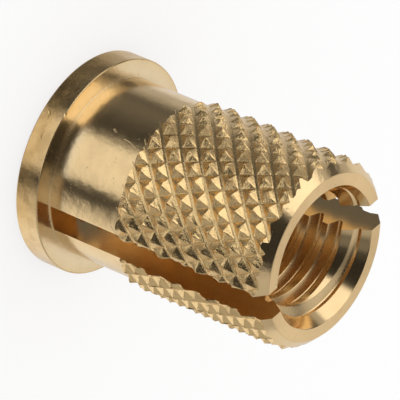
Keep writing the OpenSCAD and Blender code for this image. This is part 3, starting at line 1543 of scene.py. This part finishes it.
@dataclass(frozen=True, kw_only=True)
class KnurledBrass(Finish):
    """Brass pressed into diamonds, whose sides are slightly wavy and scuffed.

    Attributes:
        slot: The saw cut, whose edges are turned over.
        waves: Height of the waves, in units of the depth.
        scuffs: Height of the scuffs.
        edge_depth: Depth to which the slot's edges are turned over.
    """

    slot: Slot
    waves: float = 1.6
    scuffs: float = 0.7
    edge_depth: float = 1.5

    def marks(self, wires: Surface) -> Marks:
        """Draws waves, scuffs and turned-over edges.

        Args:
            wires: Adds nodes to the material.

        Returns:
            The marks.
        """
        relief = wires.math("MULTIPLY", wires.noise(wires.at, 7.0, 3.0, 0.6), self.waves)
        relief = wires.math("MULTIPLY_ADD", wires.noise(wires.at, 22.0), self.scuffs, relief)
        return Marks(wires.math("MULTIPLY_ADD", self.slot.edge_mask(wires), -self.edge_depth, relief))


@dataclass(frozen=True, kw_only=True)
class TappedBrass(Finish):
    """Brass cut by a tap: a dull thread below a bright lead-in.

    Attributes:
        thread: The tapped bore.
        thread_rough: Roughness that the thread adds.
        deep_painted_shade: Painted shade deep in the thread: the share of the darker, more golden colour
            there.
        lead_in_painted_shade: Painted shade on the lead-in: the share by which its colour is darkened.
    """

    thread: Thread
    thread_rough: float = 0.1
    deep_painted_shade: float = 0.35
    lead_in_painted_shade: float = 0.1

    def marks(self, wires: Surface) -> Marks:
        """Draws faint rings, roughens the thread, and paints shade deep in it and on the lead-in.

        Args:
            wires: Adds nodes to the material.

        Returns:
            The marks.
        """
        depth = wires.math("SUBTRACT", self.thread.end_z, wires.height)
        cone = wires.math("MULTIPLY_ADD", depth, -self.thread.narrowing, self.thread.lead_in_r)
        apart = wires.math("ABSOLUTE", wires.math("SUBTRACT", wires.radius, cone))
        thread = wires.step(apart, 0.015, 0.04)
        rough = wires.math("MULTIPLY", thread, self.thread_rough)
        # Painted shade: the thread is darker and more golden deep in the bore.
        deep = wires.math("MULTIPLY", wires.step(depth, 1.5, 4.5), self.deep_painted_shade)
        # Painted shade: the lead-in, away from the thread, is darkened.
        shade = wires.math("MULTIPLY_ADD", thread, -self.lead_in_painted_shade, self.lead_in_painted_shade)
        return Marks(self.rings(wires), rough, wires.math("MULTIPLY", thread, deep), shade=shade)


@dataclass(frozen=True)
class SawnBrass(Finish):
    """Brass cut by a slitting saw, with straight marks along the cut."""

    def marks(self, wires: Surface) -> Marks:
        """Draws the saw's marks, along X."""
        drawn = wires.vector("MULTIPLY", wires.at, (0.5, 16.0, 16.0))
        return Marks(wires.noise(drawn, 1.0, 3.0, 0.6))


@dataclass(frozen=True)
class FloorPaper:
    """Matt white paper.

    Attributes:
        color: Its colour.
        roughness: Its roughness.
        white_share: How far it looks plain white to the camera, with its shadow thinned as much.
    """

    color: Color = (0.97, 0.97, 0.97, 1.0)
    roughness: float = 0.95
    white_share: float = 0.65

    def build(self) -> bpy.types.Material:
        """Makes the paper's material.

        Returns:
            The material.
        """
        material = bpy.data.materials.new("floor_paper")
        material.use_nodes = True
        shader = material.node_tree.nodes["Principled BSDF"]
        shader.inputs["Base Color"].default_value = self.color
        shader.inputs["Roughness"].default_value = self.roughness
        shader.inputs["Specular IOR Level"].default_value = 0.1
        wires = Wiring(material.node_tree)
        rays = wires.add("ShaderNodeLightPath", {}).outputs
        seen = wires.math("MAXIMUM", rays["Is Camera Ray"], rays["Is Glossy Ray"])
        seen = wires.math("MAXIMUM", seen, rays["Is Transmission Ray"])
        white = wires.add("ShaderNodeEmission", {"Color": (1.0, 1.0, 1.0, 1.0), "Strength": 1.0})
        share = wires.math("MULTIPLY", seen, self.white_share)
        mixed = wires.add("ShaderNodeMixShader", {0: share, 1: shader.outputs[0], 2: white.outputs[0]})
        wires.tree.links.new(mixed.outputs[0], material.node_tree.nodes["Material Output"].inputs["Surface"])
        return material


# ---------------------------------------------------------------------------
# Studio
# ---------------------------------------------------------------------------


@dataclass(frozen=True)
class Card:
    """A soft-edged card that hangs in the room and shows only in the metal.

    Attributes:
        azimuth: Its direction from the insert, in degrees from +X.
        elevation: Its angle above the floor, in degrees.
        half_width: Half of the angle that it covers across.
        half_height: Half of the angle that it covers up and down.
        roll: Its turn about the direction to it, in degrees.
        softness: Share of its size over which its edge fades.
        level: How bright it is, where 1 is white.
    """

    azimuth: float
    elevation: float
    half_width: float
    half_height: float
    roll: float
    softness: float
    level: float

    def mask(self, wires: Wiring) -> Socket:
        """Places the card's mask.

        Args:
            wires: Adds nodes to the world.

        Returns:
            The mask, 1 on the card and 0 away from it.
        """
        turned = Euler((0.0, -math.radians(self.elevation), math.radians(self.azimuth))).to_matrix()
        turned = turned @ Matrix.Rotation(math.radians(self.roll), 3, "X")
        toward, across, up = turned.col
        inputs = {
            "Toward": tuple(toward),
            "Across": tuple(across / math.tan(math.radians(self.half_width))),
            "Up": tuple(up / math.tan(math.radians(self.half_height))),
            "Softness": self.softness,
        }
        return wires.use(SoftCard, inputs)["Mask"]


@dataclass
class Studio:
    """A white room with a white floor, and soft cards for the metal to mirror.

    Attributes:
        level: How bright the room looks in the metal between the cards.
        top_level: The same, straight up.
        low_level: The same, straight down.
        floor_size: Side of the floor, in metres.
        floor_drop: How far the floor lies below the insert's foot, in millimetres.
        cards: The cards, in the order in which they overlap.
    """

    level: float = 0.45
    top_level: float = 0.6
    low_level: float = 0.7
    floor_size: float = 6.0
    floor_drop: float = 0.005
    cards: dict[str, Card] = field(default_factory=lambda: {
        "side_wall": Card(124, -10, 56, 44, 0, 0.15, 0.72),
        "key": Card(-109, 26, 31, 38, 8, 0.08, 1.25),
        "low_fill": Card(-47, -26, 33, 16, 5, 0.4, 0.93),
        "small_fill": Card(24, -38, 12, 8, 5, 0.5, 1.05),
        "back_fill": Card(140, 36, 18, 8, -5, 0.5, 0.9),
        "front_flag": Card(-45, 50, 46, 26, 68, 0.2, 0.02),
        "slanted_flag": Card(-32, 8, 42, 14, 35, 0.3, 0.01),
        "low_flag": Card(-112, -32, 42, 20, 25, 0.4, 0.04),
        "side_flag": Card(-6, -32, 8, 20, 10, 0.5, 0.06),
        "under_flag": Card(-102, -74, 50, 24, -50, 0.5, 0.15),
        "small_flag": Card(14, -26, 20, 8, 10, 0.5, 0.01),
        "far_flag": Card(-162, 14, 7, 46, 20, 0.5, 0.08),
        "front_fill": Card(-9, 21, 9, 8, 0, 0.3, 0.2),
        "under_fill": Card(58, -46, 30, 20, 0, 0.5, 0.95),
    })

    def build(self) -> None:
        """Makes the room and the floor."""
        self.build_room()
        self.build_floor()

    def build_room(self) -> None:
        """Makes the world: plain white, with the cards for glossy rays."""
        world = bpy.data.worlds.new("studio")
        world.use_nodes = True
        wires = Wiring(world.node_tree)
        height = wires.split(wires.add("ShaderNodeTexCoord", {}).outputs["Generated"])[2]
        level = wires.mix(wires.step(height, 0.5, 1.0), self.level, self.top_level)
        level = wires.mix(wires.step(height, -0.5, -1.0), level, self.low_level)
        for card in self.cards.values():
            level = wires.mix(card.mask(wires), level, card.level)
        mirrored = wires.add("ShaderNodeLightPath", {}).outputs["Is Glossy Ray"]
        level = wires.mix(mirrored, 1.0, level)
        wires.tree.links.new(level, world.node_tree.nodes["Background"].inputs["Color"])
        bpy.context.scene.world = world

    def build_floor(self) -> None:
        """Makes the floor, which the metal sees past."""
        mesh = bpy.data.meshes.new("floor")
        half = self.floor_size / 2.0
        drop = self.floor_drop * MM
        corners = [(x, y, -drop) for x, y in ((-half, -half), (half, -half), (half, half), (-half, half))]
        mesh.from_pydata(corners, [], [(0, 1, 2, 3)])
        mesh.materials.append(FloorPaper().build())
        floor = bpy.data.objects.new("floor", mesh)
        bpy.context.scene.collection.objects.link(floor)
        floor.visible_glossy = False


@dataclass
class Camera:
    """The camera, with a long lens, aimed down at the insert and rolled.

    Attributes:
        aim: The point that it looks at, in millimetres.
        azimuth: Direction of the camera from the insert, in degrees from +X.
        elevation: Its angle above the floor, in degrees.
        roll: Its turn about the line of sight, in degrees.
        distance: Its distance from the aim, in millimetres.
        lens: Focal length, in millimetres, on a 36 mm sensor.
    """

    aim: Point = (-0.006, -0.259, 6.058)
    azimuth: float = -47.357
    elevation: float = 32.601
    roll: float = 112.908
    distance: float = 284.658
    lens: float = 612.35

    def build(self) -> None:
        """Makes the camera and makes it the scene's own."""
        data = bpy.data.cameras.new("camera")
        data.lens = self.lens
        data.sensor_width = 36.0
        data.clip_start = 0.01
        data.clip_end = 100.0
        camera = bpy.data.objects.new("camera", data)
        azimuth = math.radians(self.azimuth)
        elevation = math.radians(self.elevation)
        back = Vector((
            math.cos(azimuth) * math.cos(elevation),
            math.sin(azimuth) * math.cos(elevation),
            math.sin(elevation),
        ))
        level = Euler((math.pi / 2.0 - elevation, 0.0, azimuth + math.pi / 2.0)).to_matrix()
        turned = level @ Matrix.Rotation(math.radians(self.roll), 3, "Z")
        place = (Vector(self.aim) + back * self.distance) * MM
        camera.matrix_world = Matrix.Translation(place) @ turned.to_4x4()
        bpy.context.scene.collection.objects.link(camera)
        bpy.context.scene.camera = camera


def main() -> None:
    logging.basicConfig(level=logging.INFO, format="%(name)s: %(message)s")
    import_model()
    _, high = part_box(NODE)

    Camera().build()
    Studio().build()
    design = Insert(high)
    knurled = Brass(clean=(0.96, 0.68, 0.325, 1.0))
    parts = {"body": design.body, "knurl": design.knurl, "slot": design.slot}
    TurnedBrass(Region.TURNED, roughness=0.18, anisotropy=0.7, **parts).build()
    KnurledBrass(Region.KNURLED, knurled, depth=0.012, roughness=0.25, slot=design.slot).build()
    TappedBrass(Region.TAPPED, depth=0.0005, thread=design.thread).build()
    SawnBrass(Region.SAWN, roughness=0.22, depth=0.0015).build()
    insert = design.build()
    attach(insert, "root")
    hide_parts(NODE)
    logger.info("insert: %d faces, in %d finishes", len(insert.data.polygons), len(Region))
    bpy.context.scene.view_settings.view_transform = "Standard"


if __name__ == "__main__":
    main()
